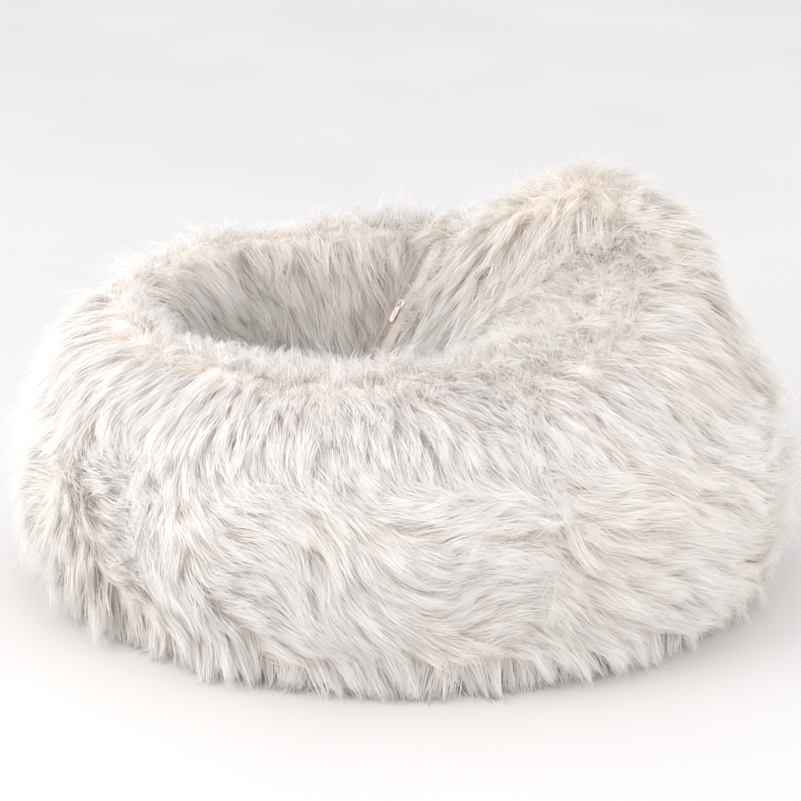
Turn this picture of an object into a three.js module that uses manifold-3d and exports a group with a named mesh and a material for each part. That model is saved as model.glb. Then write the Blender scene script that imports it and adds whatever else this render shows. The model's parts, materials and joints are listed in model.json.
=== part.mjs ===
// A faux-fur bean bag chair: six long-pile gores, a round seat cap and a flat woven base make the
// outer cover, which closes with a zip in one gore seam. A thin liner with its own zip holds the beads.
// Millimetres, +Z up. -X is the front, where the knees go, +X is the back that the sitter leans on.
import * as THREE from "three";
import Module from "manifold-3d";
import { mergeVertices } from "three/addons/utils/BufferGeometryUtils.js";

const wasm = await Module();
wasm.setup();

// ---- Driving dimensions --------------------------------------------------------------------------
const HALF_LENGTH = 500; // front to back, at the widest level
const HALF_WIDTH = 430; // side to side
const BULGE_HEIGHT = 90; // height of the widest level
const RIM_HEIGHT = 385; // seat rim, away from the back
const BACK_RISE = 142; // how much higher the back's crest stands than the rim
const BACK_ANGLE = 8; // degrees, direction of the back's highest point
const BACK_SPREAD_RIGHT = 28; // degrees, how fast the crest falls away on each side of it
const BACK_SPREAD_LEFT = 24;
const SIDE_TILT = 33; // the right rim stands this much above the mean, and the left rim below
const CREST_CENTRE = [-70, 50];
const CREST_RADII = [300, 200];
const LOBE_ANGLE = -25; // degrees, a soft lobe beside the back pushes the crest outwards
const LOBE_SPREAD = 14;
const LOBE_PUSH = 0.13;
const SEAT_CENTRE = [-150, 45]; // middle of the seat hollow's floor
const SEAT_RADII = [150, 125];
const SEAT_HEIGHT = 185;
const SEAT_DISH = 18; // the floor's edge stands this much above its middle
const BASE_SCALE = 0.8; // base outline over the widest outline
const BASE_THICKNESS = 3;
const BASE_MARGIN = 1.5; // the base disc's edge stays this far inside the gores' lower edges

// The wall's levels from the base's edge up. A layer under the surface is drawn in and raised by these
// shares of its depth.
const WALL = [
  { scale: BASE_SCALE, height: 2, drawnIn: 0.35, raised: 0.93 },
  { scale: 0.935, height: 28, drawnIn: 0.8, raised: 0.6 },
  { scale: 1, height: BULGE_HEIGHT, drawnIn: 1, raised: 0 },
  { scale: 0.985, height: 205, drawnIn: 1, raised: -0.1 },
];
// Between the crest and the widest outline: how far towards the outline, how high as a share of the
// crest's height, and how far a layer sinks as a share of its depth.
const SHOULDERS = [
  { outwards: 0.68, atBack: 0.6, height: 0.84, sunk: 0.6 },
  { outwards: 0.28, atBack: 0.28, height: 0.965, sunk: 0.97 },
];
// Inside its ridge the rim rounds over, this far and this much down.
const LIP = { run: 54, drop: 28, shortened: 0.55, sunk: 0.85 };
const SLOPE = { upwards: 0.42, height: 0.5 }; // a point on the hollow's side, between floor and lip

const SEAMS = [60, 112.5, 165, 225, 292.5, 345]; // degrees, where the gores are sewn together
const SEAM_DEPTH = 12; // how far a seam draws the pile in
const SEAM_SPREAD = 5; // degrees
const FOLD_SEAM = 345; // degrees, the seam where the lobe and the back fold against each other
const FOLD_DEPTH = 18; // added to that seam's depth over the top
const FOLD_SPREAD = 7; // degrees
// Rows of the meridian over which the seams, and the fold, begin and end.
const SEAM_ROWS = { start: [0.3, 2], end: [8, 9] };
const FOLD_ROWS = { start: [2.5, 4.5], end: [6.5, 8] };
const TIP_DRAW = 0.75; // a seam draws the fabric in this much less than the pile's tips
const STEP = 7.5; // degrees between meridians
const COARSE_STEP = 15; // the same on the hidden pieces
const PILE = 38; // fabric and the pile lying on it
const SEAM_GAP = 0.5; // each sewn edge is drawn back this much

const LINER_INSET = 48;
const LINER_WALL = 2.5;
const FILL_INSET = 56;
const FILL_GAP = 1; // between the beads and the liner's folded bottom
const LINER_FLOOR = 8.3; // underside of the liner
const LINER_SCALE = 0.7; // outline of the liner's flat bottom

const ZIP_SEAM = 60; // degrees, the seam that holds the cover's zip
const TAPE_INNER = 4.2; // a tape's edges, from the zip's centre line
const TAPE_OUTER = 18;
const TAPE_THICKNESS = 1;
const COIL_INNER = 1.3;
const COIL_OUTER = 3.9;
const COIL_THICKNESS = 2.2;
const STOP = { length: 3, thickness: 2.8, overhang: 0.2 }; // clipped over the coil's end
const TOUCH_GAP = 0.3;
const SLIDER = { length: 12, mouth: 12, throat: 9.2, corner: 2, cornerRun: 2.5 };
const PLATE = { thickness: 1.1, upper: 1.5, lower: -2.6 }; // the slider's plates, and their undersides
const POST = { half: 0.8, from: 0.5, to: 5 }; // joins the plates between the rows
const FLANGE = { inner: 4.3, outer: 5, from: -3, to: 4.5, low: 0.85 }; // guides a row along each side
const PLATE_BITE = 0.1; // posts and flanges reach this far into the plates
// The bridge's arch: its half widths outside and inside, and its heights from the feet to the top.
const BRIDGE = { half: 3.6, inside: 2.2, length: 2, foot: 2.5, spring: 3.3, hip: 3.6, roof: 4.6, top: 5.8 };
const COVER_ZIP = { half: 86, tapeHalf: 100, slotHalf: 112, slotWidth: 36.6, depth: 21 };
const LINER_ZIP = { half: 150, tapeHalf: 164, slotHalf: 158, slotWidth: 28, level: 7.5 };
const PULL = { length: 28, width: 7.2, neck: 6, round: 4, shoulder: 5.2, thickness: 1.3 };
const PULL_BAR = { radius: 0.75, length: 6, height: 3.5 }; // its height is over the zip's mid plane
const PULL_ARM = { inner: 1.8, outer: 3, length: 5.6 };
const ZIP_ROWS = [8.85, 7.15]; // the cover zip's ends, as places along the meridian
const SLOT_REACH = [-40, 80]; // how far the slot is cut into the cloth and out of it

const RADIANS = Math.PI / 180;

// ---- Colours ---------------------------------------------------------------------------------------
const fur = () => new THREE.MeshStandardMaterial({ color: 0xf3efe8, roughness: 0.95, metalness: 0 });
const woven = () => new THREE.MeshStandardMaterial({ color: 0xd9d2c6, roughness: 0.9, metalness: 0 });
const lining = () => new THREE.MeshStandardMaterial({ color: 0xe9e6df, roughness: 0.85, metalness: 0 });
const tapeCloth = () => new THREE.MeshStandardMaterial({ color: 0xe6d6c8, roughness: 0.85, metalness: 0 });
const coilPlastic = () => new THREE.MeshStandardMaterial({ color: 0xe3d8cc, roughness: 0.45, metalness: 0 });
const zinc = () => new THREE.MeshStandardMaterial({ color: 0xd8d2d0, roughness: 0.3, metalness: 0.9 });
const beads = () => new THREE.MeshStandardMaterial({ color: 0xf7f7f5, roughness: 0.8, metalness: 0 });

// ---- The bag's outline -----------------------------------------------------------------------------
function bell(offset, spread) {
  return Math.exp(-0.5 * (offset / spread) ** 2);
}

// The signed difference of two directions in degrees, from -180 to 180.
function turn(from, to) {
  return THREE.MathUtils.euclideanModulo(from - to + 180, 360) - 180;
}

function crestHeight(angle) {
  const away = turn(angle, BACK_ANGLE);
  const spread = away > 0 ? BACK_SPREAD_RIGHT : BACK_SPREAD_LEFT;
  return RIM_HEIGHT + BACK_RISE * bell(away, spread) + SIDE_TILT * Math.sin(angle * RADIANS);
}

// One meridian of the bag, this far under its surface, from the base's edge over the rim and down to
// the middle of the seat. The rim's ridge stays over the same line, so the inner layers never fold.
function meridian(angle, inset) {
  const [c, s] = [Math.cos(angle * RADIANS), Math.sin(angle * RADIANS)];
  const top = crestHeight(angle);
  const reach = 1 + LOBE_PUSH * bell(turn(angle, LOBE_ANGLE), LOBE_SPREAD);
  const back = bell(turn(angle, BACK_ANGLE), BACK_SPREAD_RIGHT);
  const ellipse = (radii, grow, centre) => {
    return new THREE.Vector2((radii[0] + grow) * c + centre[0], (radii[1] + grow) * s + centre[1]);
  };
  const outline = (scale, drawnIn) => {
    return ellipse([HALF_LENGTH * scale, HALF_WIDTH * scale], -drawnIn * inset, [0, 0]);
  };
  const at = (xy, z) => new THREE.Vector3(xy.x, xy.y, z);
  const between = (a, b, share) => a.clone().lerp(b, share);
  const wide = outline(1, 1);
  const crest = ellipse(CREST_RADII, 0, CREST_CENTRE).addScaledVector(
    new THREE.Vector2(CREST_RADII[0] * c, CREST_RADII[1] * s),
    reach - 1,
  );
  const floor = ellipse(SEAT_RADII, inset, SEAT_CENTRE);
  const edge = SEAT_HEIGHT + SEAT_DISH - inset;
  const lip = between(crest, floor, (LIP.run - LIP.shortened * inset) / crest.distanceTo(floor));
  const lipHeight = top - LIP.drop - LIP.sunk * inset;
  const wall = WALL.map((w) => at(outline(w.scale, w.drawnIn), w.height + w.raised * inset));
  const shoulders = SHOULDERS.map((shoulder) => {
    const outwards = THREE.MathUtils.lerp(shoulder.outwards, shoulder.atBack, back);
    return at(between(crest, wide, outwards), shoulder.height * top - shoulder.sunk * inset);
  });
  return new THREE.CatmullRomCurve3([
    ...wall,
    ...shoulders,
    at(crest, top - inset),
    at(lip, lipHeight),
    at(between(floor, lip, SLOPE.upwards), edge + SLOPE.height * (lipHeight - edge)),
    at(floor, edge),
    new THREE.Vector3(...SEAT_CENTRE, SEAT_HEIGHT - inset),
  ]);
}

const FLOOR_ROW = 9; // the control point at the seat floor's edge, counted from the base
const LAST_ROW = 10; // and the one at its middle
const curves = new Map();

// A layer's plain surface, at a direction in degrees and a place along the meridian in control points.
function plainPoint(angle, row, inset) {
  const direction = THREE.MathUtils.euclideanModulo(angle, 360);
  const key = `${direction.toFixed(3)} ${inset}`;
  if (!curves.has(key)) curves.set(key, meridian(direction, inset));
  return curves.get(key).getPoint(row / LAST_ROW);
}

function plainNormal(angle, row, inset) {
  const [rowStep, angleStep] = [0.25, 2];
  if (row === LAST_ROW) return new THREE.Vector3(0, 0, 1);
  const along = plainPoint(angle, Math.min(row + rowStep, LAST_ROW), inset).sub(
    plainPoint(angle, Math.max(row - rowStep, 0), inset),
  );
  const round = plainPoint(angle + angleStep, row, inset).sub(plainPoint(angle - angleStep, row, inset));
  return round.cross(along).normalize();
}

// A point of the cover, this far under the surface of the finished bag. Its seams are drawn in, the
// pile's tips more than the fabric under them.
function bagPoint(angle, row, inset) {
  const { smoothstep } = THREE.MathUtils;
  const over = (rows) => smoothstep(row, ...rows.start) * (1 - smoothstep(row, ...rows.end));
  const seam = Math.max(...SEAMS.map((s) => bell(turn(angle, s), SEAM_SPREAD))) * over(SEAM_ROWS);
  const fold = bell(turn(angle, FOLD_SEAM), FOLD_SPREAD) * over(FOLD_ROWS);
  const under = inset / PILE;
  const depth = SEAM_DEPTH * seam * (1 - TIP_DRAW * under) + FOLD_DEPTH * fold * (1 - under);
  return plainPoint(angle, row, inset).addScaledVector(plainNormal(angle, row, inset), -depth);
}

// ---- Mesh helpers ----------------------------------------------------------------------------------
const GORE_ROWS = [0, 0.6, 1.3, 2, 3, 4, 4.7, 5.4, 6, 6.6, 7.2, 8, FLOOR_ROW];
const CAP_ROWS = [FLOOR_ROW, 9.5, LAST_ROW];
const BODY_ROWS = [0, 1, 2, 3, 4, 5, 6, 7, 8, 9, LAST_ROW];

function geometryFrom(points, faces) {
  const geometry = new THREE.BufferGeometry().setFromPoints(points);
  geometry.setIndex(faces.flat());
  return geometry;
}

// Two triangles of a four-sided face, without the one that has shrunk to nothing.
function quad(a, b, c, d) {
  return [
    [a, b, c],
    [a, c, d],
  ].filter((f) => new Set(f).size === 3);
}

// A gore: a thick patch between two directions, with its sewn edges drawn back from its neighbours.
function goreGeometry(from, to) {
  const angles = [];
  for (let a = from; a <= to + 0.01; a += STEP) angles.push(a);
  const [columns, rows] = [angles.length, GORE_ROWS.length];
  const [end, last] = [columns - 1, rows - 1];
  const points = [];
  for (const inset of [0, PILE]) {
    const grid = angles.map((a) => GORE_ROWS.map((r) => bagPoint(a, r, inset)));
    drawBack(grid, SEAM_GAP);
    points.push(...grid.flat());
  }
  const at = (layer, i, j) => layer * columns * rows + i * rows + j;
  const faces = [];
  for (let i = 0; i < end; i++) {
    for (let j = 0; j < last; j++) {
      faces.push(...quad(at(0, i, j), at(0, i + 1, j), at(0, i + 1, j + 1), at(0, i, j + 1)));
      faces.push(...quad(at(1, i, j), at(1, i, j + 1), at(1, i + 1, j + 1), at(1, i + 1, j)));
    }
  }
  for (let i = 0; i < end; i++) {
    faces.push(...quad(at(0, i, 0), at(1, i, 0), at(1, i + 1, 0), at(0, i + 1, 0)));
    faces.push(...quad(at(0, i, last), at(0, i + 1, last), at(1, i + 1, last), at(1, i, last)));
  }
  for (let j = 0; j < last; j++) {
    faces.push(...quad(at(0, 0, j), at(0, 0, j + 1), at(1, 0, j + 1), at(1, 0, j)));
    faces.push(...quad(at(0, end, j), at(1, end, j), at(1, end, j + 1), at(0, end, j + 1)));
  }
  return geometryFrom(points, faces);
}

// Moves the points on a grid's side and upper edges towards the next row or column inside.
function drawBack(grid, gap) {
  const [end, last] = [grid.length - 1, grid[0].length - 1];
  const moves = [];
  const pull = (p, q) => moves.push([p, q.clone().sub(p).setLength(gap)]);
  for (let j = 0; j <= last; j++) {
    pull(grid[0][j], grid[1][j]);
    pull(grid[end][j], grid[end - 1][j]);
  }
  for (let i = 0; i <= end; i++) {
    pull(grid[i][last], grid[i][last - 1]);
  }
  moves.forEach(([point, move]) => point.add(move));
}

// A closed solid from rings of points between two end points.
function ringSolid(rings, first, last) {
  const count = rings[0].length;
  const points = [first, ...rings.flat(), last];
  const end = points.length - 1;
  const at = (ring, i) => 1 + ring * count + (i % count);
  const faces = [];
  for (let i = 0; i < count; i++) {
    faces.push([0, at(0, i + 1), at(0, i)]);
    for (let r = 0; r < rings.length - 1; r++) {
      faces.push(...quad(at(r, i), at(r, i + 1), at(r + 1, i + 1), at(r + 1, i)));
    }
    faces.push([at(rings.length - 1, i), at(rings.length - 1, i + 1), end]);
  }
  return geometryFrom(points, faces);
}

function directions(step) {
  return Array.from({ length: 360 / step }, (_, i) => i * step);
}

// The round seat cap: a thick dished disc sewn to the six gores' lower ends inside the hollow.
function capGeometry() {
  const ring = (row, inset) => {
    return directions(STEP).map((a) => {
      const point = bagPoint(a, row, inset);
      if (row !== FLOOR_ROW) return point;
      return point.add(bagPoint(a, row + 0.5, inset).sub(point).setLength(SEAM_GAP));
    });
  };
  const outer = CAP_ROWS.slice(0, -1).map((row) => ring(row, 0));
  const inner = CAP_ROWS.slice(0, -1).map((row) => ring(row, PILE));
  return ringSolid(
    [...inner.reverse(), ...outer],
    bagPoint(0, LAST_ROW, PILE),
    bagPoint(0, LAST_ROW, 0),
  );
}

// A solid of the bag's own shape, this far inside it, with a flat bottom.
function innerBody(inset, level) {
  const flat = (a) =>
    new THREE.Vector3(
      HALF_LENGTH * LINER_SCALE * Math.cos(a * RADIANS),
      HALF_WIDTH * LINER_SCALE * Math.sin(a * RADIANS),
      level,
    );
  const rings = [directions(COARSE_STEP).map(flat)];
  for (const row of BODY_ROWS.slice(0, -1)) {
    rings.push(directions(COARSE_STEP).map((a) => plainPoint(a, row, inset)));
  }
  return ringSolid(rings, new THREE.Vector3(0, 0, level), plainPoint(0, LAST_ROW, inset));
}

function toSolid(geometry) {
  const bare = geometry.clone();
  bare.deleteAttribute("normal");
  bare.deleteAttribute("uv");
  const merged = mergeVertices(bare, 1e-4);
  return new wasm.Manifold(
    new wasm.Mesh({
      numProp: 3,
      vertProperties: new Float32Array(merged.attributes.position.array),
      triVerts: new Uint32Array(merged.index.array),
    }),
  );
}

function toGeometry(solid) {
  const mesh = solid.getMesh();
  const geometry = new THREE.BufferGeometry();
  geometry.setAttribute("position", new THREE.BufferAttribute(new Float32Array(mesh.vertProperties), 3));
  geometry.setIndex(new THREE.BufferAttribute(new Uint32Array(mesh.triVerts), 1));
  return geometry;
}

function join(...geometries) {
  return toGeometry(geometries.map(toSolid).reduce((whole, piece) => whole.add(piece)));
}

function cut(geometry, ...tools) {
  return toGeometry(tools.map(toSolid).reduce((whole, tool) => whole.subtract(tool), toSolid(geometry)));
}

function block(low, high) {
  const size = high.map((value, i) => value - low[i]);
  return new THREE.BoxGeometry(...size).translate(...low.map((value, i) => value + size[i] / 2));
}

const part = new THREE.Group();

function add(group, name, geometry, material) {
  geometry.computeVertexNormals();
  const mesh = new THREE.Mesh(geometry, material);
  mesh.name = name;
  group.add(mesh);
  return mesh;
}

// ---- Zip pieces, in the zip's own frame: x across, y along the travel, z out of the cloth -----------
function tape(side, half) {
  const edges = [side * TAPE_INNER, side * TAPE_OUTER].sort((a, b) => a - b);
  return block([edges[0], -half, -TAPE_THICKNESS / 2], [edges[1], half, TAPE_THICKNESS / 2]);
}

// A row of coil, as the oval bar that its turns fill.
function coil(side, half) {
  const oval = new THREE.Shape();
  oval.absellipse(
    (side * (COIL_INNER + COIL_OUTER)) / 2,
    0,
    (COIL_OUTER - COIL_INNER) / 2,
    COIL_THICKNESS / 2,
    0,
    2 * Math.PI,
  );
  const bar = new THREE.ExtrudeGeometry(oval, { depth: 2 * half, bevelEnabled: false, curveSegments: 6 });
  return bar.rotateX(Math.PI / 2).translate(0, half, 0);
}

// A stop clipped over the coil's end: over one row at the top, and over both at the bottom.
function stop(from, to, half, end) {
  const near = half + TOUCH_GAP;
  const [low, high] = end > 0 ? [near, near + STOP.length] : [-near - STOP.length, -near];
  return block([from, low, -STOP.thickness / 2], [to, high, STOP.thickness / 2]);
}

// The slider's plates seen from above: wide where the open rows enter, narrow where they leave.
function platePlan() {
  const [wide, narrow, end] = [SLIDER.mouth / 2, SLIDER.throat / 2, SLIDER.length / 2];
  const flat = wide - SLIDER.cornerRun;
  const plan = new THREE.Shape();
  plan.moveTo(-narrow, -end);
  plan.lineTo(narrow, -end);
  plan.quadraticCurveTo(wide, 0, wide, end - SLIDER.corner);
  plan.quadraticCurveTo(wide, end, flat, end);
  plan.lineTo(-flat, end);
  plan.quadraticCurveTo(-wide, end, -wide, end - SLIDER.corner);
  plan.quadraticCurveTo(-wide, 0, -narrow, -end);
  return plan;
}

function slider(withBridge) {
  const plate = (low) => {
    const options = { depth: PLATE.thickness, bevelEnabled: false, curveSegments: 4 };
    return new THREE.ExtrudeGeometry(platePlan(), options).translate(0, 0, low);
  };
  const bite = PLATE.upper + PLATE_BITE;
  const post = block([-POST.half, POST.from, -bite], [POST.half, POST.to, bite]);
  const pieces = [plate(PLATE.upper), plate(PLATE.lower), post];
  for (const side of [-1, 1]) {
    const [left, right] = [side * FLANGE.inner, side * FLANGE.outer].sort((a, b) => a - b);
    pieces.push(block([left, FLANGE.from, FLANGE.low], [right, FLANGE.to, bite]));
  }
  if (withBridge) pieces.push(bridge());
  return join(...pieces);
}

// The arch on the slider that the pull's bar turns under.
function bridge() {
  const { half, inside, foot, spring, roof, hip, top, length } = BRIDGE;
  const arch = new THREE.Shape();
  arch.moveTo(-half, foot);
  arch.lineTo(-inside, foot);
  arch.lineTo(-inside, spring);
  arch.quadraticCurveTo(-inside, roof, 0, roof);
  arch.quadraticCurveTo(inside, roof, inside, spring);
  arch.lineTo(inside, foot);
  arch.lineTo(half, foot);
  arch.lineTo(half, hip);
  arch.quadraticCurveTo(half, top, 0, top);
  arch.quadraticCurveTo(-half, top, -half, hip);
  const solid = new THREE.ExtrudeGeometry(arch, { depth: length, bevelEnabled: false, curveSegments: 5 });
  return solid.rotateX(Math.PI / 2).rotateZ(Math.PI / 2).translate(-length / 2, 0, 0);
}

// The pull: a bar under the bridge, two arms beside it and a tapered tab. Its bar is at the origin.
function pull() {
  const { length, width, neck, round, shoulder, thickness } = PULL;
  const tab = new THREE.Shape();
  tab.moveTo(-neck / 2, -shoulder);
  tab.lineTo(-width / 2, round - length);
  tab.quadraticCurveTo(-width / 2, -length, 0, -length);
  tab.quadraticCurveTo(width / 2, -length, width / 2, round - length);
  tab.lineTo(neck / 2, -shoulder);
  const leaf = new THREE.ExtrudeGeometry(tab, { depth: thickness, bevelEnabled: false, curveSegments: 5 });
  const bar = new THREE.CylinderGeometry(PULL_BAR.radius, PULL_BAR.radius, PULL_BAR.length, 10);
  const arm = (side) => {
    const [left, right] = [side * PULL_ARM.inner, side * PULL_ARM.outer].sort((a, b) => a - b);
    return block([left, -PULL_ARM.length, -thickness / 2], [right, 0, thickness / 2]);
  };
  return join(leaf.translate(0, 0, -thickness / 2), bar.rotateZ(Math.PI / 2), arm(-1), arm(1));
}

function addZip(group, name, half, tapeHalf, withPull) {
  const [near, far] = [COIL_INNER - STOP.overhang, COIL_OUTER + STOP.overhang];
  for (const [side, letter] of [
    [-1, "left"],
    [1, "right"],
  ]) {
    const [left, right] = [side * near, side * far].sort((a, b) => a - b);
    add(group, `${name}_tape_${letter}`, tape(side, tapeHalf), tapeCloth());
    add(group, `${name}_coil_${letter}`, coil(side, half), coilPlastic());
    add(group, `${name}_top_stop_${letter}`, stop(left, right, half, 1), zinc());
  }
  add(group, `${name}_bottom_stop`, stop(-far, far, half, -1), zinc());
  add(group, `${name}_slider`, slider(withPull), zinc());
  if (withPull) add(group, `${name}_pull`, pull(), zinc()).position.z = PULL_BAR.height;
}

// ---- The cover's zip ---------------------------------------------------------------------------------
// It lies straight in the seam between the rim's inner lip and the seat floor, under the pile.
const [zipLow, zipHigh] = ZIP_ROWS.map((row) => bagPoint(ZIP_SEAM, row, 0));
const zipAlong = zipHigh.clone().sub(zipLow).normalize();
const zipOut = plainNormal(ZIP_SEAM, 8, 0);
zipOut.addScaledVector(zipAlong, -zipOut.dot(zipAlong)).normalize();
const zipAcross = zipAlong.clone().cross(zipOut);
const coverZip = new THREE.Group();
coverZip.setRotationFromMatrix(new THREE.Matrix4().makeBasis(zipAcross, zipAlong, zipOut));
coverZip.position.copy(zipLow.clone().lerp(zipHigh, 0.5).addScaledVector(zipOut, -COVER_ZIP.depth));
coverZip.updateMatrixWorld(true);
addZip(coverZip, "cover_zip", COVER_ZIP.half, COVER_ZIP.tapeHalf, true);

const zipSlot = block(
  [-COVER_ZIP.slotWidth / 2, -COVER_ZIP.slotHalf, SLOT_REACH[0]],
  [COVER_ZIP.slotWidth / 2, COVER_ZIP.slotHalf, SLOT_REACH[1]],
).applyMatrix4(coverZip.matrixWorld);

// ---- The cover ---------------------------------------------------------------------------------------
const GORE_NAMES = ["right", "front_right", "front", "left", "back_left", "back_right"];
GORE_NAMES.forEach((name, i) => {
  const next = SEAMS[(i + 1) % SEAMS.length];
  const whole = goreGeometry(SEAMS[i], next > SEAMS[i] ? next : next + 360);
  const besideZip = [SEAMS[i], next].includes(ZIP_SEAM);
  add(part, `fur_gore_${name}`, besideZip ? cut(whole, zipSlot) : whole, fur());
});
add(part, "fur_seat_cap", capGeometry(), fur());

const baseOutline = new THREE.Shape();
const baseRadii = [HALF_LENGTH, HALF_WIDTH].map((half) => half * BASE_SCALE - BASE_MARGIN);
baseOutline.absellipse(0, 0, ...baseRadii, 0, 2 * Math.PI);
const base = new THREE.ExtrudeGeometry(baseOutline, {
  depth: BASE_THICKNESS,
  bevelEnabled: false,
  curveSegments: 24,
});
add(part, "base_panel", base, woven());

// ---- The liner and the beads ---------------------------------------------------------------------------
const linerSlot = block(
  [-LINER_ZIP.slotHalf, -LINER_ZIP.slotWidth / 2, 0],
  [LINER_ZIP.slotHalf, LINER_ZIP.slotWidth / 2, LINER_FLOOR + 2 * LINER_WALL],
);
const linerBag = cut(
  innerBody(LINER_INSET, LINER_FLOOR),
  innerBody(LINER_INSET + LINER_WALL, LINER_FLOOR + LINER_WALL),
  linerSlot,
);
add(part, "liner_bag", linerBag, lining());
add(part, "bead_fill", innerBody(FILL_INSET, LINER_FLOOR + 2 * LINER_WALL + FILL_GAP), beads());

const linerZip = new THREE.Group();
linerZip.rotation.z = -Math.PI / 2;
linerZip.position.z = LINER_ZIP.level;
addZip(linerZip, "liner_zip", LINER_ZIP.half, LINER_ZIP.tapeHalf, false);

part.add(coverZip, linerZip);

// The origin is the middle of the footprint, on the floor.
const extent = new THREE.Box3().setFromObject(part, true);
part.position.set(-(extent.min.x + extent.max.x) / 2, -(extent.min.y + extent.max.y) / 2, -extent.min.z);
part.updateMatrixWorld(true);

export default part;
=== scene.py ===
"""The looks of a round faux-fur bean bag chair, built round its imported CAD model, in metres."""

import math

import bmesh
import bpy
import numpy as np
from mathutils import Matrix, Vector
from mathutils.bvhtree import BVHTree
from mathutils.kdtree import KDTree
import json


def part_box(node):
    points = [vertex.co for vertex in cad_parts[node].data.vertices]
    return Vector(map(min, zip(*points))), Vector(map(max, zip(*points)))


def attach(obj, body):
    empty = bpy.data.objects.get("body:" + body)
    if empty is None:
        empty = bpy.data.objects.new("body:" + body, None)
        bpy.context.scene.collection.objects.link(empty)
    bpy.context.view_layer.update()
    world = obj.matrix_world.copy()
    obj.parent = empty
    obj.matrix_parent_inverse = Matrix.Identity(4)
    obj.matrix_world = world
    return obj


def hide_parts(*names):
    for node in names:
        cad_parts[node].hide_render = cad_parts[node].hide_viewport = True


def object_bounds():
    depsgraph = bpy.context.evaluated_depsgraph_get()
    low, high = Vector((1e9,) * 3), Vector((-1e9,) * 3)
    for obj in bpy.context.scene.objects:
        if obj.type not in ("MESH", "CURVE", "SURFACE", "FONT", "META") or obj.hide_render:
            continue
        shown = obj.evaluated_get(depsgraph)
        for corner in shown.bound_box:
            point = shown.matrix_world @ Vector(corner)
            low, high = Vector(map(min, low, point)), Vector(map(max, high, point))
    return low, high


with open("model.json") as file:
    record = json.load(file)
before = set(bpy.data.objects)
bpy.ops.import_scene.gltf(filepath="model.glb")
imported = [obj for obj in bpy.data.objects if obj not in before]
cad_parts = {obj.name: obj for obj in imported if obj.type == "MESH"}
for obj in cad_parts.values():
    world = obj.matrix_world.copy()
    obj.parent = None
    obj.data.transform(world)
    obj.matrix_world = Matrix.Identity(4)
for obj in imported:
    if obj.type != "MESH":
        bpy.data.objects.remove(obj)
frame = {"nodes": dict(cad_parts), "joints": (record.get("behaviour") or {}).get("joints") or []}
cad_low, cad_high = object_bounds()
NODES = frame["nodes"]
JOINTS = {joint["name"]: joint for joint in frame["joints"]}

# ---- Driving values ------------------------------------------------------------------------------
PANELS = sorted(name for name in NODES if name.startswith("fur_"))
SKIN_VOXEL = 0.007  # the fabric's remesh
PILE_DEPTH = 0.028  # the knitted backing lies this far under the pile's outer face
HEM_DEPTH = 0.004  # and this far at the base's edge
HEM_HEIGHT = 0.07  # above the floor, where the full depth is reached
BACKING = 0.0016  # thickness of the backing
PUFF = 0.008  # the most that the filling swells the fabric between its seams
SIMULATION_FRAMES = 16

LOCK_SPACING = 0.018  # between the big locks of pile
TUFT_SPACING = 0.0060  # between the small tufts that make them up
STRANDS_PER_TUFT = 8
TUFT_RADIUS = 0.0048  # how far a tuft's strands spread at the root
PILE_LENGTH = 0.060
STRAND_POINTS = 5  # along each strand, from root to tip
STRAND_WIDTH = 0.00074
RIDGE_REACH = 0.025  # how far out of the fabric tufts and locks are matched
WIDE_ROUNDS = 12  # of averaging for the surface's broad normals
MOST_STRANDS = 28000  # in one piece
FLOOR_CLEARANCE = 0.0008  # the lowest that a strand's line may run
LOWEST_CORNER = 0.0004  # and the lowest that its edges may
MOST_PROUD = (0.036, 0.032, 0.022)  # of the CAD model's box, along each axis
LINES_SEED = 20
ROLL_SEED = 31

BARE_ZIP = (0.0135, 0.092, 0.03)  # no pile grows this near the zip: across, along, in depth
ZIP_PLUG = (0.022, 0.118)  # half width and half length of the filler that closes the zip's slot
ZIP_PLUG_DEPTH = (-0.016, 0.014)
UNDER_TAPES = 0.0025  # the fabric lies this far below the middle of the zip
FLAT_TOP = 0.012  # the skin below this height belongs to the base, not to a fur panel

LINER_VOXEL = 0.008
LINER_CLOTH = 0.0010
BASE_CLOTH = 0.0012
BASE_SECTORS = 360
BASE_PUCKERS = 150
TAPE = 0.0008
TAPE_COLUMNS, TAPE_ROWS = 9, 160  # of the tape's mesh
COIL_PITCH = 0.0015
COIL_WIRE = 0.0006
COIL_STEPS = 12  # points in one turn
STITCH_PITCH = 0.0028
STITCH_SHARE = 0.82  # of the pitch that each stitch covers
STITCH_BOW = 0.0002
STITCH_INSETS = (0.0035, 0.0100)  # from the tape's outer edge
THREAD = 0.0003
METAL_EDGE = 0.00022

SEAT_LOW, SEAT_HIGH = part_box("fur_seat_cap")
SEAT_CENTRE = (SEAT_LOW + SEAT_HIGH) / 2
BASE_LOW, BASE_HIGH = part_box("base_panel")
UP = np.array([0.0, 0.0, 1.0])


def smooth(low, high, x):
    """0 below low, 1 above high, and a smooth step between; low may be the greater."""
    t = np.clip((x - low) / (high - low), 0, 1)
    return t * t * (3 - 2 * t)


def unit(v):
    return v / np.maximum(np.linalg.norm(v, axis=-1, keepdims=True), 1e-9)


def dot(a, b):
    return (a * b).sum(-1, keepdims=True)


def along_surface(v, normals):
    """What is left of v when it is laid on the surface."""
    return v - normals * dot(v, normals)


def ripples(points, wavelength, seed, waves=9):
    """A smooth random value at each point, mostly from -1 to 1, that varies over this wavelength."""
    random = np.random.default_rng(seed)
    total = np.zeros(len(points))
    for _ in range(waves):
        direction = unit(random.normal(size=3))
        stretch = wavelength * random.uniform(0.7, 1.5)
        total += np.sin(points @ direction * (2 * math.pi / stretch) + random.uniform(0, 2 * math.pi))
    return total / math.sqrt(waves / 2)


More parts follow.
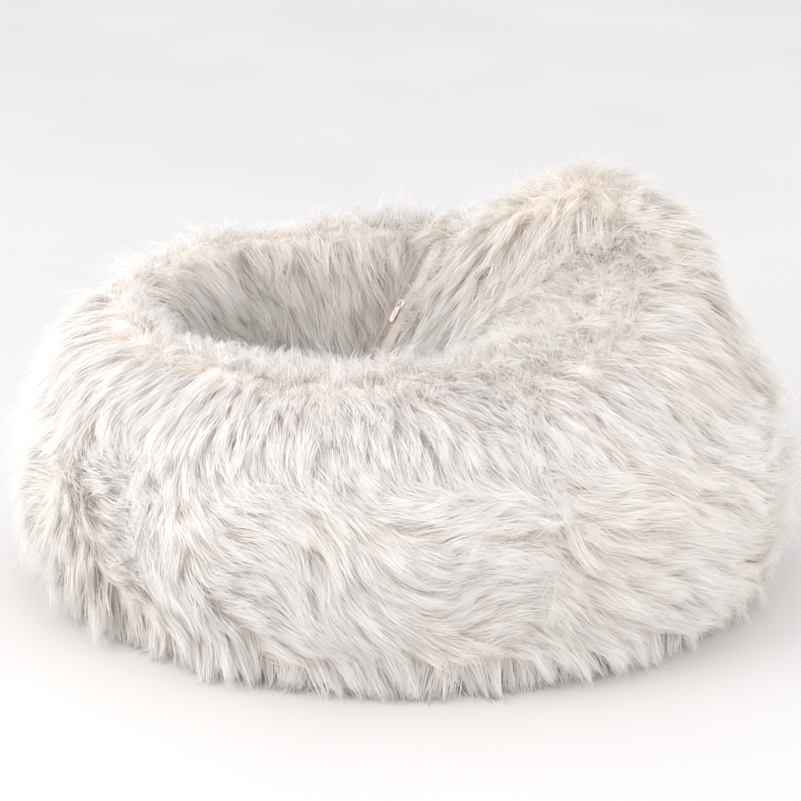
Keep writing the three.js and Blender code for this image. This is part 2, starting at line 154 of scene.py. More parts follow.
# ---- Mesh helpers ----------------------------------------------------------------------------------
def new_object(name, mesh):
    piece = bpy.data.objects.new(name, mesh)
    bpy.context.scene.collection.objects.link(piece)
    return piece


def delete(piece):
    mesh = piece.data
    bpy.data.objects.remove(piece)
    bpy.data.meshes.remove(mesh)


def apply(piece, kind, **settings):
    """Adds a modifier with these settings and bakes its result into the mesh."""
    modifier = piece.modifiers.new(kind.lower(), kind)
    for key, value in settings.items():
        setattr(modifier, key, value)
    bake_modifiers(piece)


def bake_modifiers(piece):
    graph = bpy.context.evaluated_depsgraph_get()
    mesh = bpy.data.meshes.new_from_object(piece.evaluated_get(graph))
    old = piece.data
    piece.modifiers.clear()
    piece.data = mesh
    bpy.data.meshes.remove(old)


def points_of(mesh):
    co = np.empty(len(mesh.vertices) * 3)
    mesh.vertices.foreach_get("co", co)
    return co.reshape(-1, 3)


def normals_of(mesh):
    normals = np.empty(len(mesh.vertices) * 3)
    mesh.vertices.foreach_get("normal", normals)
    return normals.reshape(-1, 3)


def move_points(mesh, points):
    mesh.vertices.foreach_set("co", points.astype(np.float32).ravel())
    mesh.update()


def shade_smooth(mesh):
    mesh.polygons.foreach_set("use_smooth", np.ones(len(mesh.polygons), bool))


def joined(names, extra=()):
    """One mesh that holds these CAD nodes' solids and any extra meshes."""
    shape = bmesh.new()
    for mesh in [*(NODES[name].data for name in names), *extra]:
        shape.from_mesh(mesh)
    bmesh.ops.remove_doubles(shape, verts=shape.verts, dist=1e-5)
    mesh = bpy.data.meshes.new("joined")
    shape.to_mesh(mesh)
    shape.free()
    return mesh


def box_mesh(low, high, matrix):
    shape = bmesh.new()
    bmesh.ops.create_cube(shape, size=1)
    size = [b - a for a, b in zip(low, high)]
    centre = [(a + b) / 2 for a, b in zip(low, high)]
    bmesh.ops.scale(shape, vec=size, verts=shape.verts)
    bmesh.ops.translate(shape, vec=centre, verts=shape.verts)
    shape.transform(matrix)
    mesh = bpy.data.meshes.new("box")
    shape.to_mesh(mesh)
    shape.free()
    return mesh


def tree_of(mesh):
    return BVHTree.FromPolygons([v.co for v in mesh.vertices], [p.vertices[:] for p in mesh.polygons])


# ---- The cover zip's own frame: x across, y along its travel, z out of the cloth -------------------
ZIP_ALONG = Vector(JOINTS["cover_zip_travel"]["axis"]).normalized()
ZIP_ACROSS = -Vector(JOINTS["cover_pull_flip"]["axis"]).normalized()
ZIP_OUT = ZIP_ACROSS.cross(ZIP_ALONG).normalized()


def middle(names):
    corners = [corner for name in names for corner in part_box(name)]
    low = Vector(map(min, *corners))
    high = Vector(map(max, *corners))
    return (low + high) / 2


ZIP_CENTRE = middle(["cover_zip_tape_left", "cover_zip_tape_right"])
ZIP_MATRIX = Matrix.Translation(ZIP_CENTRE) @ Matrix((ZIP_ACROSS, ZIP_ALONG, ZIP_OUT)).transposed().to_4x4()
ZIP_INVERSE = ZIP_MATRIX.inverted()


def in_zip_frame(points):
    m = np.array(ZIP_INVERSE)
    return points @ m[:3, :3].T + m[:3, 3]


# ---- The fabric under the pile -----------------------------------------------------------------------
def seam_distances(points, trees):
    """Each point's own panel, its distance to the nearest seam and the way to that seam."""
    owner = np.zeros(len(points), int)
    distance = np.zeros(len(points))
    way = np.zeros((len(points), 3))
    for i, point in enumerate(points):
        found = sorted((tree.find_nearest(point) + (k,) for k, tree in enumerate(trees)), key=lambda f: f[3])
        owner[i] = found[0][4]
        distance[i] = found[1][3]
        way[i] = found[1][0] - Vector(point)
    return owner, distance, way


def outer_skin(trees):
    """The whole fabric as one closed surface, under the pile, swollen between its seams."""
    (half_width, half_length), (bottom, top) = ZIP_PLUG, ZIP_PLUG_DEPTH
    plug = box_mesh((-half_width, -half_length, bottom), (half_width, half_length, top), ZIP_MATRIX)
    skin = new_object("skin", joined([*PANELS, "base_panel"], [plug]))
    bpy.data.meshes.remove(plug)
    apply(skin, "REMESH", mode="VOXEL", voxel_size=SKIN_VOXEL)
    keep_outer_island(skin.data)
    points, normals = points_of(skin.data), normals_of(skin.data)
    depth = HEM_DEPTH + (PILE_DEPTH - HEM_DEPTH) * smooth(0, HEM_HEIGHT, points[:, 2:3])
    move_points(skin.data, points - normals * depth)
    apply(skin, "SMOOTH", factor=0.6, iterations=6)
    swell(skin, trees)
    lay_under_zip(skin.data)
    shade_smooth(skin.data)
    return skin


def keep_outer_island(mesh):
    shape = bmesh.new()
    shape.from_mesh(mesh)
    start = max(shape.verts, key=lambda v: v.co.x)
    reached = {start}
    front = [start]
    while front:
        near = {edge.other_vert(v) for v in front for edge in v.link_edges} - reached
        reached |= near
        front = list(near)
    bmesh.ops.delete(shape, geom=[v for v in shape.verts if v not in reached], context="VERTS")
    shape.to_mesh(mesh)
    shape.free()


def swell(skin, trees):
    """Cloth simulation: the filling presses the fabric out between the seams, which hold it."""
    rest = points_of(skin.data)
    _, distance, _ = seam_distances(rest, trees)
    seams = skin.vertex_groups.new(name="seams")
    hold = smooth(0.035, 0.006, distance)
    hold = np.maximum(hold, smooth(0.02, 0.008, rest[:, 2]))
    for level in range(1, 11):
        chosen = np.nonzero(np.round(hold * 10).astype(int) == level)[0]
        seams.add(chosen.tolist(), level / 10, "REPLACE")
    cloth = skin.modifiers.new("cloth", "CLOTH")
    settings = cloth.settings
    settings.quality = 4
    settings.mass = 0.4
    settings.tension_stiffness = 12
    settings.compression_stiffness = 12
    settings.shear_stiffness = 4
    settings.bending_stiffness = 0.4
    settings.vertex_group_mass = "seams"
    settings.use_pressure = True
    settings.uniform_pressure_force = 4
    settings.effector_weights.gravity = 0
    for number in range(1, SIMULATION_FRAMES + 1):
        bpy.context.scene.frame_set(number)
    bake_modifiers(skin)
    bpy.context.scene.frame_set(1)
    shift = points_of(skin.data) - rest
    length = np.linalg.norm(shift, axis=1, keepdims=True)
    limited = PUFF * np.tanh(length / PUFF)
    move_points(skin.data, rest + unit(shift) * limited)


def lay_under_zip(mesh):
    """Brings the fabric up to just under the zip's tapes."""
    points = points_of(mesh)
    own = in_zip_frame(points)
    near = smooth(0.045, 0.02, np.abs(own[:, 0])) * smooth(0.13, 0.104, np.abs(own[:, 1]))
    near *= np.abs(own[:, 2]) < 0.04
    lift = (-UNDER_TAPES - own[:, 2]) * near
    move_points(mesh, points + lift[:, None] * np.array(ZIP_OUT))


def panel_pieces(skin, trees):
    """Cuts the skin into its sewn panels, each a thin piece of backing."""
    mesh = skin.data
    centres = np.array([polygon.center for polygon in mesh.polygons])
    owner, _, _ = seam_distances(centres, trees)
    floor = centres[:, 2] < FLAT_TOP
    pieces = []
    for k, name in enumerate(PANELS):
        shape = bmesh.new()
        shape.from_mesh(mesh)
        shape.faces.ensure_lookup_table()
        others = [face for face in shape.faces if owner[face.index] != k or floor[face.index]]
        bmesh.ops.delete(shape, geom=others, context="FACES")
        cut = bpy.data.meshes.new(name + "_backing")
        shape.to_mesh(cut)
        shape.free()
        piece = new_object(name + "_backing", cut)
        apply(piece, "SOLIDIFY", thickness=BACKING, offset=-1)
        shade_smooth(piece.data)
        pieces.append(piece)
    return pieces


# ---- The way the pile lies -----------------------------------------------------------------------------
class Surface:
    """The fabric's surface, with normals that are averaged over its surroundings as well as its own."""

    def __init__(self, mesh):
        self.tree = tree_of(mesh)
        edges = np.empty(len(mesh.edges) * 2, np.int32)
        mesh.edges.foreach_get("vertices", edges)
        one, other = edges.reshape(-1, 2).T
        wide = normals_of(mesh)
        for _ in range(WIDE_ROUNDS):
            total = wide.copy()
            np.add.at(total, one, wide[other])
            np.add.at(total, other, wide[one])
            wide = unit(total)
        self.wide = unit(np.array([wide[list(polygon.vertices)].sum(0) for polygon in mesh.polygons]))

    def nearest(self, points):
        """The nearest places on the fabric, their normals and their averaged normals."""
        found = [self.tree.find_nearest(point) for point in points]
        places = np.array([f[0] for f in found])
        normals = np.array([f[1] for f in found])
        return places, normals, self.wide[[f[2] for f in found]]


def outward_of(points):
    """The level direction from the middle of the seat to each point."""
    outward = points - np.array(SEAT_CENTRE)
    outward[:, 2] = 0
    return unit(outward)


def crest_share(points, wide):
    """1 along the ridge of the rim and the back, 0 away from it."""
    return smooth(0.3, 0.8, wide[:, 2]) * smooth(0.25, 0.31, points[:, 2])


def zip_share(points, inner, outer):
    """1 within the inner distance of the zip's line, 0 beyond the outer one."""
    own = in_zip_frame(points)
    near = smooth(outer, inner, np.abs(own[:, 0])) * smooth(0.14, 0.10, np.abs(own[:, 1]))
    return near * (np.abs(own[:, 2]) < 0.05)


def flow(points, normals, wide, seam_distance, seam_way, shift):
    """The direction along the surface in which the pile is combed; shift moves its parting about."""
    outward = outward_of(points)
    round_bag = unit(np.cross(UP, normals + 0.15 * outward))
    down = along_surface(-UP[None, :], normals)
    steepness = np.linalg.norm(down, axis=1)
    down = unit(down) * smooth(0, 0.3, steepness)[:, None]
    height = points[:, 2]
    facing = dot(wide, outward)[:, 0]
    top = crest_share(points, wide)
    inner = smooth(-0.2, -0.6, facing)

    # Half way down the outside the pile sweeps sideways in waves.
    azimuth = np.arctan2(points[:, 1], points[:, 0])
    sweep = 0.15 + 0.85 * np.cos(azimuth - math.radians(268))
    band = smooth(0.03, 0.09, height) * smooth(0.29, 0.20, height) * smooth(0, 0.4, facing)
    side = 1.6 * sweep * band
    side += 0.45 * ripples(points, 0.17, 1) * (0.25 + 0.9 * band) * (1 - 0.7 * top)
    side += 0.28 * ripples(points, 0.07, 2) * (1 - 0.7 * top)
    fall = 1 - band * (0.78 + 0.55 * ripples(points, 0.15, 3))
    fall *= 1 - 0.6 * top
    direction = down * fall[:, None] + round_bag * side[:, None]
    by_zip = zip_share(points, 0.02, 0.06)
    direction -= along_surface(np.cross(UP, outward), normals) * (0.6 * inner * (1 - by_zip))[:, None]

    # Along the ridge of the rim it parts, and most of it falls outwards.
    over = 2 * smooth(-0.6, -0.15, facing + shift) - 1
    direction += along_surface(outward, normals) * (1.6 * top * over)[:, None]

    # On the seat's floor it lies in a loose swirl.
    seat = smooth(0.26, 0.21, height) * smooth(0.6, 0.95, normals[:, 2])
    swirl = along_surface(np.cross(UP, outward), normals)
    direction += (swirl * 0.8 + along_surface(-outward, normals) * 0.4) * seat[:, None]

    # Beside a seam it leans in over the crease, and beside the zip it is brushed away a little.
    lean = 0.7 * smooth(0.04, 0.004, seam_distance) * smooth(0.04, 0.12, height) * (1 - 0.8 * top)
    direction += unit(along_surface(seam_way, normals)) * (lean * (1 - by_zip))[:, None]
    away = np.sign(in_zip_frame(points)[:, 0])[:, None] * np.array(ZIP_ACROSS)
    direction += away * (1.0 * by_zip)[:, None]
    return unit(along_surface(direction, normals))


def parting_share(points, wide):
    """1 along the ridge where the pile parts, just inside the highest line of the rim."""
    facing = dot(wide, outward_of(points))[:, 0]
    return crest_share(points, wide) * smooth(0.35, 0.05, facing) * smooth(-0.85, -0.5, facing)


def ridge_share(points, normals, wide):
    """1 on and close beside the sharp upper edge of the rim."""
    facing = dot(wide, outward_of(points))[:, 0]
    sharp = smooth(0.03, 0.12, 1 - dot(normals, wide)[:, 0]) * smooth(0.15, 0.4, wide[:, 2])
    sharp *= smooth(0.26, 0.31, points[:, 2]) * smooth(0.4, 0.1, facing)
    return np.maximum(parting_share(points, wide), sharp)


def uprightness(points, wide, seam_distance):
    """How far the pile stands up from the fabric: 0 combed flat, 1 on end."""
    stand = 0.17 + 0.07 * ripples(points, 0.09, 4) + 0.05 * ripples(points, 0.035, 5)
    stand += 0.52 * smooth(0.35, 0.47, np.abs(points[:, 0]))
    stand += 0.20 * smooth(0.10, 0.28, points[:, 1])
    stand += 0.22 * smooth(0.12, 0.26, points[:, 0]) * smooth(0.4, 0.2, points[:, 2])
    stand += 0.30 * smooth(0.38, 0.46, points[:, 2])
    stand += 0.40 * parting_share(points, wide)
    stand -= 0.10 * smooth(0.03, 0.004, seam_distance)
    return np.clip(stand, 0.05, 0.95)


def scatter(mesh, spacing, random):
    """Random places on the mesh, one to each square of this spacing, with their normals."""
    mesh.calc_loop_triangles()
    corners = np.empty(len(mesh.loop_triangles) * 3, int)
    mesh.loop_triangles.foreach_get("vertices", corners)
    corners = corners.reshape(-1, 3)
    points, normals = points_of(mesh), normals_of(mesh)
    a, b, c = (points[corners[:, i]] for i in range(3))
    area = np.linalg.norm(np.cross(b - a, c - a), axis=1) / 2
    count = int(area.sum() / spacing**2)
    chosen = random.choice(len(area), size=count, p=area / area.sum())
    u, v = random.random((2, count, 1))
    fold = u + v > 1
    u, v = np.where(fold, 1 - u, u), np.where(fold, 1 - v, v)
    weights = [1 - u - v, u, v]
    at = sum(w * points[corners[chosen, i]] for i, w in enumerate(weights))
    out = unit(sum(w * normals[corners[chosen, i]] for i, w in enumerate(weights)))
    return at, out


def grows(points, normals):
    """True where pile grows: not on the flat underside, and not over the zip."""
    under = (points[:, 2] < 0.022) & (normals[:, 2] < -0.5)
    over_zip = (np.abs(in_zip_frame(points)) < BARE_ZIP).all(axis=1)
    return ~under & ~over_zip


def lock_paths(roots, normals, surface, trees, random):
    """The middle line of each big lock, which follows the combing and lifts off the fabric."""
    count = len(roots)
    _, distance, way = seam_distances(roots, trees)
    shift = random.normal(0, 0.22, count)
    _, _, wide = surface.nearest(roots)
    direction = flow(roots, normals, wide, distance, way, shift)
    wild = 0.2 + 0.35 * parting_share(roots, wide)[:, None]
    direction = unit(along_surface(direction + random.normal(0, 1, (count, 3)) * wild, normals))
    by_zip = zip_share(roots, 0.02, 0.06)
    length = PILE_LENGTH * random.uniform(0.8, 1.12, count) * (1 - 0.5 * by_zip)
    length *= 1 - 0.15 * smooth(0.1, 0.24, roots[:, 0])
    length *= 1 - 0.30 * smooth(0.055, 0.025, roots[:, 2])
    stand = uprightness(roots, wide, distance) + random.normal(0, 0.05, count)
    angle = np.radians(16 + 58 * np.clip(stand * (1 - 0.5 * by_zip), 0.05, 1))
    hanging = smooth(0.09, 0.04, roots[:, 2])
    outward = unit(roots * np.array([1, 1, 0]))
    paths = np.empty((count, STRAND_POINTS, 3))
    ups = np.empty((count, STRAND_POINTS, 3))
    paths[:, 0], ups[:, 0] = roots, normals
    on_skin = roots
    height = np.zeros(count)
    step = length / (STRAND_POINTS - 1)
    for i in range(1, STRAND_POINTS):
        share = i / (STRAND_POINTS - 1)
        slope = angle * (1.2 - 0.6 * share)
        height += step * np.sin(slope)
        reached = on_skin + direction * (step * np.cos(slope))[:, None]
        on_skin, up, wide = surface.nearest(reached)
        turned = flow(on_skin, up, wide, distance, way, shift)
        direction = unit(along_surface(0.55 * direction + 0.45 * turned, up))
        lying = on_skin + up * height[:, None]
        lying[:, 2] -= 0.006 * share**2
        fall = unit(-UP + 0.75 * outward * (1 - 0.3 * share) + 0.4 * along_surface(direction, up))
        hung = paths[:, i - 1] + fall * step[:, None]
        w = (hanging * (0.4 + 0.5 * share))[:, None]
        paths[:, i] = lying * (1 - w) + hung * w
        ups[:, i] = unit(up * (1 - w) + outward * w)
        below = np.maximum(FLOOR_CLEARANCE + 0.003 - paths[:, i, 2], 0)[:, None]
        paths[:, i] += (outward * 0.9 + UP) * below
    return paths, ups


def lies_near(tree, points):
    """For each point, which of the tree's points is nearest."""
    return np.array([tree.find(point)[1] for point in points])


def kd_tree(points):
    tree = KDTree(len(points))
    for i, point in enumerate(points):
        tree.insert(point, i)
    tree.balance()
    return tree


def turned(steps, old_normals, new_normals, amounts):
    """Turns each line's steps as its normal turns from old to new, by a smaller amount along the line."""
    axis = np.cross(old_normals, new_normals)
    sine = np.linalg.norm(axis, axis=1)
    axis = (axis / np.maximum(sine, 1e-9)[:, None])[:, None]
    angle = np.arctan2(sine, dot(old_normals, new_normals)[:, 0])[:, None] * amounts[None]
    cosine = np.cos(angle)[..., None]
    across = np.cross(np.broadcast_to(axis, steps.shape), steps)
    return steps * cosine + across * np.sin(angle)[..., None] + axis * dot(axis, steps) * (1 - cosine)


def within_size(lines):
    """Presses the tips in smoothly wherever they would stand too far out of the CAD model's box."""
    for axis, most in enumerate(MOST_PROUD):
        for sign, wall in ((-1, -cad_low[axis]), (1, cad_high[axis])):
            if axis == 2 and sign < 0:
                continue
            over = sign * lines[..., axis] - (wall + most / 3)
            pressed = (2 * most / 3) * np.tanh(np.maximum(over, 0) / (2 * most / 3))
            lines[..., axis] -= sign * (np.maximum(over, 0) - pressed)
    lines[..., 2] = np.maximum(lines[..., 2], FLOOR_CLEARANCE)
    return lines


def make_strands(skin, trees):
    """Every strand of the pile: its line, the way up along it and the panel it grows on."""
    random = np.random.default_rng(LINES_SEED)
    mesh = skin.data
    surface = Surface(mesh)
    roots, normals = scatter(mesh, LOCK_SPACING, random)
    kept = grows(roots, normals)
    roots, normals = roots[kept], normals[kept]
    locks, lock_ups = lock_paths(roots, normals, surface, trees, random)

    tufts, tuft_normals = scatter(mesh, TUFT_SPACING, random)
    kept = grows(tufts, tuft_normals)
    tufts, tuft_normals = tufts[kept], tuft_normals[kept]
    # Compared a little way out of the fabric, so that the two sides of a sharp ridge stay apart.
    lock_of = lies_near(kd_tree(roots + RIDGE_REACH * normals), tufts + RIDGE_REACH * tuft_normals)
    owner, _, _ = seam_distances(tufts, trees)

    shares = np.linspace(0, 1, STRAND_POINTS)
    # A tuft keeps its place beside the lock's line at the root and closes in on it at the tip.
    tuft_offset = tufts - roots[lock_of]
    stretch = random.normal(1, 0.10, len(tufts))
    gathered = smooth(0.34, 0.22, tufts[:, 2]) * smooth(0.42, 0.30, np.abs(tufts[:, 0]))
    fringe = smooth(0.12, 0.07, tufts[:, 2])
    closing = random.uniform(0.05, 0.35, len(tufts)) + random.uniform(0.05, 0.5, len(tufts)) * gathered
    closing = closing * (1 - fringe) + random.uniform(0.1, 0.5, len(tufts)) * fringe
    steps = turned(np.diff(locks, axis=1)[lock_of], normals[lock_of], tuft_normals, 1 - shares[:-1])
    steps = np.concatenate([np.zeros((len(tufts), 1, 3)), steps], axis=1)
    tuft_lines = roots[lock_of][:, None] + np.cumsum(steps, axis=1) * stretch[:, None, None]
    draw = 1 - closing[:, None] * shares[None] ** 1.6
    tuft_lines = tuft_lines + tuft_offset[:, None] * draw[..., None]
    wander = random.normal(0, 0.0060, (len(tufts), 3)) * (1 - 0.5 * fringe)[:, None]
    tuft_lines = tuft_lines + wander[:, None] * (shares**2)[None, :, None]

    # Along the ridge many tufts stand up by themselves and fall to either side, so no fabric shows.
    _, _, wide = surface.nearest(tufts)
    alone = random.random(len(tufts)) < 0.8 * ridge_share(tufts, tuft_normals, wide)
    own_way = unit(wide + random.normal(0, 0.38, (len(tufts), 3)))
    own_lines = tufts[:, None] + own_way[:, None] * (0.75 * PILE_LENGTH * shares)[None, :, None]
    own_lines[..., 2] -= 0.016 * shares**2
    tuft_lines[alone] = own_lines[alone]

    # The strands of a tuft stand round its line and meet at its tip.
    tuft_of = np.repeat(np.arange(len(tufts)), STRANDS_PER_TUFT)
    count = len(tuft_of)
    offset = random.normal(0, TUFT_RADIUS, (count, 3))
    offset = along_surface(offset, tuft_normals[tuft_of])
    own_stretch = random.normal(0.97, 0.09, count)
    lines = tuft_lines[tuft_of]
    lines = lines[:, :1] + (lines - lines[:, :1]) * own_stretch[:, None, None]
    together = random.uniform(0.1, 0.8, count)
    together += (0.9 - together) * 0.7 * fringe[tuft_of]
    lines = lines + offset[:, None] * (1 - together[:, None] * shares[None] ** 1.3)[..., None]
    ups = lock_ups[lock_of][tuft_of]
    frizz = random.normal(0, 1, (count, 3)) * 0.0016
    frizz[random.random(count) < 0.05] *= 3
    phase = random.uniform(0, 2 * math.pi, count)
    bend = np.sin(phase[:, None] + shares[None] * 4.2) * shares[None]
    lines = lines + frizz[:, None] * bend[..., None]
    stray = random.random(count) < 0.10
    lines[stray] += ups[stray] * (0.010 * shares**1.5)[None, :, None]
    lines = within_size(lines)
    # Each tuft's tone: random, plus painted shade, creamier and darker on the right side, away from the key
    # light.
    tone_and_painted_shade = 0.60 + 0.11 * random.normal(size=len(tufts)) - 0.22 * smooth(0.0, 0.3, tufts[:, 0])
    tone_and_painted_shade += 0.1 * ripples(tufts, 0.2, 6)
    # Painted shade inside the hollow, where the fabric faces inward: darker and creamier.
    tone_and_painted_shade -= 0.3 * smooth(-0.2, -0.6, dot(wide, outward_of(tufts))[:, 0])
    tone_and_painted_shade = np.clip(tone_and_painted_shade[tuft_of] + 0.10 * random.normal(size=count), 0, 1)
    return lines, ups, owner[tuft_of], tone_and_painted_shade


def strand_mesh(name, lines, ups, tone_and_painted_shade, random):
    """Tapered flat strands: a few four-sided faces and a pointed tip each."""
    count, steps, _ = lines.shape
    along = np.gradient(lines, axis=1)
    side = unit(np.cross(along, ups))
    lift = unit(np.cross(side, along))
    roll = np.clip(random.normal(0, 0.4, (count, 1, 1)), -1.0, 1.0)
    side = side * np.cos(roll) + lift * np.sin(roll)
    taper = np.array([0.75, 1.0, 0.92, 0.66])[:steps - 1]
    width = STRAND_WIDTH * random.uniform(0.7, 1.25, (count, 1, 1)) * taper[None, :, None] / 2
    body = lines[:, :-1]
    left, right = body - side[:, :-1] * width, body + side[:, :-1] * width
    corners = np.stack([left, right], axis=2).reshape(count, 2 * (steps - 1), 3)
    vertices = np.concatenate([corners, lines[:, -1:]], axis=1)
    vertices[..., 2] = np.maximum(vertices[..., 2], LOWEST_CORNER)
    per_strand = vertices.shape[1]
    pattern = []
    for i in range(steps - 2):
        pattern.append([2 * i, 2 * i + 1, 2 * i + 3, 2 * i + 2])
    pattern.append([2 * steps - 4, 2 * steps - 3, 2 * steps - 2])
    loops = np.concatenate(pattern)
    sizes = np.array([len(face) for face in pattern])
    index = (np.arange(count)[:, None] * per_strand + loops[None]).ravel()
    totals = np.tile(sizes, count)
    starts = np.concatenate([[0], np.cumsum(totals)[:-1]])
    mesh = bpy.data.meshes.new(name)
    mesh.vertices.add(count * per_strand)
    mesh.vertices.foreach_set("co", vertices.astype(np.float32).ravel())
    mesh.loops.add(len(index))
    mesh.loops.foreach_set("vertex_index", index.astype(np.int32))
    mesh.polygons.add(len(totals))
    mesh.polygons.foreach_set("loop_start", starts.astype(np.int32))
    share = np.concatenate([np.repeat(np.arange(steps - 1), 2), [steps - 1]]) / (steps - 1)
    # u carries each strand's tone and its painted shade from the hollow and the right side; v runs from root
    # to tip.
    u = np.repeat(tone_and_painted_shade, per_strand)[index] * 0.9 + 0.05
    v = np.tile(share, count)[index] * 0.9 + 0.05
    layer = mesh.uv_layers.new(name="OFBake")
    layer.data.foreach_set("uv", np.stack([u, v], axis=1).astype(np.float32).ravel())
    mesh.update(calc_edges=True)
    shade_smooth(mesh)
    flat = unit(np.cross(side, along))
    soft = unit(0.5 * flat * np.sign(dot(flat, ups)) + 0.5 * ups)
    soft = np.concatenate([np.repeat(soft[:, :-1], 2, axis=1), soft[:, -1:]], axis=1)
    mesh.normals_split_custom_set_from_vertices(soft.reshape(-1, 3))
    return mesh


# ---- Materials -------------------------------------------------------------------------------------------
class Nodes:
    """A node material under construction."""

    def __init__(self, name):
        self.material = bpy.data.materials.new(name)
        self.material.use_nodes = True
        self.tree = self.material.node_tree
        self.shader = self.tree.nodes["Principled BSDF"]

    def add(self, kind, inputs=None, **settings):
        node = self.tree.nodes.new("ShaderNode" + kind)
        for key, value in settings.items():
            setattr(node, key, value)
        for key, value in (inputs or {}).items():
            self.put(node.inputs[key], value)
        return node

    def put(self, socket, value):
        if isinstance(value, bpy.types.NodeSocket):
            self.tree.links.new(value, socket)
        else:
            socket.default_value = value

    def ramp(self, source, stops):
        """Colours along a value: (place, colour) pairs."""
        node = self.add("ValToRGB", {"Fac": source})
        elements = node.color_ramp.elements
        while len(elements) < len(stops):
            elements.new(0.5)
        for element, (place, colour) in zip(elements, stops):
            element.position = place
            element.color = (*colour, 1)
        return node.outputs["Color"]

    def mix(self, factor, a, b, blend="MIX"):
        node = self.add("Mix", data_type="RGBA", blend_type=blend)
        self.put(node.inputs[0], factor)
        self.put(node.inputs[6], a)
        self.put(node.inputs[7], b)
        return node.outputs[2]

    def noise(self, scale, detail=3.0, vector=None):
        inputs = {"Scale": scale, "Detail": detail}
        if vector is not None:
            inputs["Vector"] = vector
        return self.add("TexNoise", inputs).outputs["Fac"]

    def place(self):
        return self.add("TexCoord").outputs["Object"]

    def bump(self, height, distance, strength=1.0):
        node = self.add("Bump", {"Height": height, "Distance": distance, "Strength": strength})
        self.put(self.shader.inputs["Normal"], node.outputs["Normal"])

    def finish(self, colour, roughness, **others):
        self.put(self.shader.inputs["Base Color"], colour)
        self.put(self.shader.inputs["Roughness"], roughness)
        for key, value in others.items():
            self.put(self.shader.inputs[key.replace("_", " ")], value)
        return self.material


def fur_material():
    """Acrylic pile, near white at the tip, with painted shade making it darker and warmer towards the root;
    each tuft's tone differs a little, with painted shade inside the hollow and on the right side.
    """
    n = Nodes("faux fur pile")
    uv = n.add("UVMap", uv_map="OFBake").outputs["UV"]
    split = n.add("SeparateXYZ", {"Vector": uv})
    # Along each strand: painted shade, darker and warmer deep in the pile towards the root, near white at
    # the tip.
    root_shade_to_tip = n.ramp(split.outputs["Y"], [
        (0.05, (0.90, 0.84, 0.78)),
        (0.30, (0.96, 0.935, 0.91)),
        (0.60, (0.975, 0.965, 0.955)),
        (0.95, (0.99, 0.988, 0.985)),
    ])
    # Across: each tuft's own random tone, and the painted shade, darker and creamier, of the hollow and the
    # right side.
    tuft = n.ramp(split.outputs["X"], [
        (0.0, (0.96, 0.93, 0.89)),
        (0.5, (0.99, 0.98, 0.97)),
        (1.0, (1, 1, 1)),
    ])
    colour = n.mix(1.0, root_shade_to_tip, tuft, "MULTIPLY")
    streaks = n.ramp(n.noise(60, 2, uv), [(0.35, (0.96, 0.955, 0.95)), (0.65, (1, 1, 1))])
    colour = n.mix(1.0, colour, streaks, "MULTIPLY")
    n.finish(colour, 0.6, Specular_IOR_Level=0.2)
    through = n.add("BsdfTranslucent", {"Color": colour})
    both = n.add("MixShader", {0: 0.5, 1: n.shader.outputs[0], 2: through.outputs[0]})
    n.tree.links.new(both.outputs[0], n.tree.nodes["Material Output"].inputs["Surface"])
    return n.material


def backing_material():
    """The knitted backing that the pile stands on."""
    n = Nodes("knitted backing")
    place = n.place()
    knit = {"Vector": place, "Scale": 260.0, "Distortion": 1.5}
    rows = n.add("TexWave", knit, bands_direction="Z").outputs["Fac"]
    cloud = n.noise(18, 4, place)
    colour = n.ramp(cloud, [(0.3, (0.88, 0.82, 0.76)), (0.7, (0.93, 0.89, 0.85))])
    n.bump(rows, 0.0004)
    return n.finish(colour, 0.9)


def woven_material(name, dark, light, threads_per_metre):
    """Plain woven cloth: crossed threads and slow clouds of colour."""
    n = Nodes(name)
    place = n.place()
    waves = {"Vector": place, "Scale": threads_per_metre / 20, "Distortion": 0.4, "Detail": 1.0}
    warp = n.add("TexWave", waves, bands_direction="X").outputs["Fac"]
    weft = n.add("TexWave", waves, bands_direction="Y").outputs["Fac"]
    weave = n.add("Math", {0: warp, 1: weft}, operation="MULTIPLY").outputs[0]
    cloud = n.noise(9, 5, place)
    colour = n.ramp(cloud, [(0.3, dark), (0.7, light)])
    shade = n.ramp(weave, [(0.0, (0.82, 0.82, 0.82)), (0.6, (1, 1, 1))])
    n.bump(weave, 0.0003)
    return n.finish(n.mix(1.0, colour, shade, "MULTIPLY"), 0.88)


def metal_material():
    """Nickel-plated zinc with fine brushing."""
    n = Nodes("zip metal")
    place = n.place()
    scratches = n.noise(900, 3, n.add("Mapping", {"Vector": place, "Scale": (1, 1, 6)}).outputs[0])
    colour = n.ramp(scratches, [(0.3, (0.70, 0.57, 0.52)), (0.7, (0.80, 0.68, 0.62))])
    rough = n.ramp(scratches, [(0.3, (0.28, 0.28, 0.28)), (0.7, (0.4, 0.4, 0.4))])
    n.bump(scratches, 0.00005)
    return n.finish(colour, rough, Metallic=0.6)


def coil_material():
    n = Nodes("nylon coil")
    cloud = n.noise(300, 2, n.place())
    colour = n.ramp(cloud, [(0.3, (0.80, 0.71, 0.64)), (0.7, (0.88, 0.80, 0.73))])
    n.bump(cloud, 0.00004)
    return n.finish(colour, 0.4)


def thread_material():
    n = Nodes("sewing thread")
    twist = n.noise(2500, 2, n.place())
    colour = n.ramp(twist, [(0.3, (0.84, 0.78, 0.72)), (0.7, (0.92, 0.88, 0.84))])
    n.bump(twist, 0.00003)
    return n.finish(colour, 0.7)


